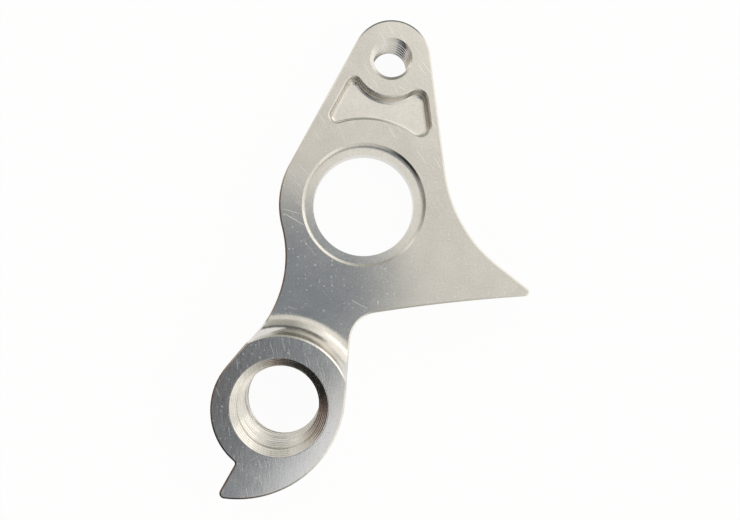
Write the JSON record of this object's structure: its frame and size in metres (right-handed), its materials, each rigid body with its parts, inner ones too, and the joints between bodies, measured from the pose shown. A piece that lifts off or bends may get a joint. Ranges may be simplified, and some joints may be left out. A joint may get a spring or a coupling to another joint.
{
  "type": "bicycle derailleur hanger",
  "caption": "Machined aluminium derailleur hanger: flat plate with an axle hole, tapped bolt hole, trim pocket and forward wing, and a raised, tapped derailleur eye with a stop tab.",
  "frame": {"origin": "centre of the axle hole on the flat back (inboard) face", "axes": "+Z outboard along the axle, +X to the front of the bicycle, +Y upwards on the bicycle; the part lies on its back face"},
  "size_m": [0.0372, 0.0555, 0.009],
  "materials": {
    "machined_aluminium": "bare milled aluminium, finely rubbed, with light scratches"
  },
  "bodies": {
    "root": {"hanger": "machined_aluminium"}
  },
  "joints": []
}
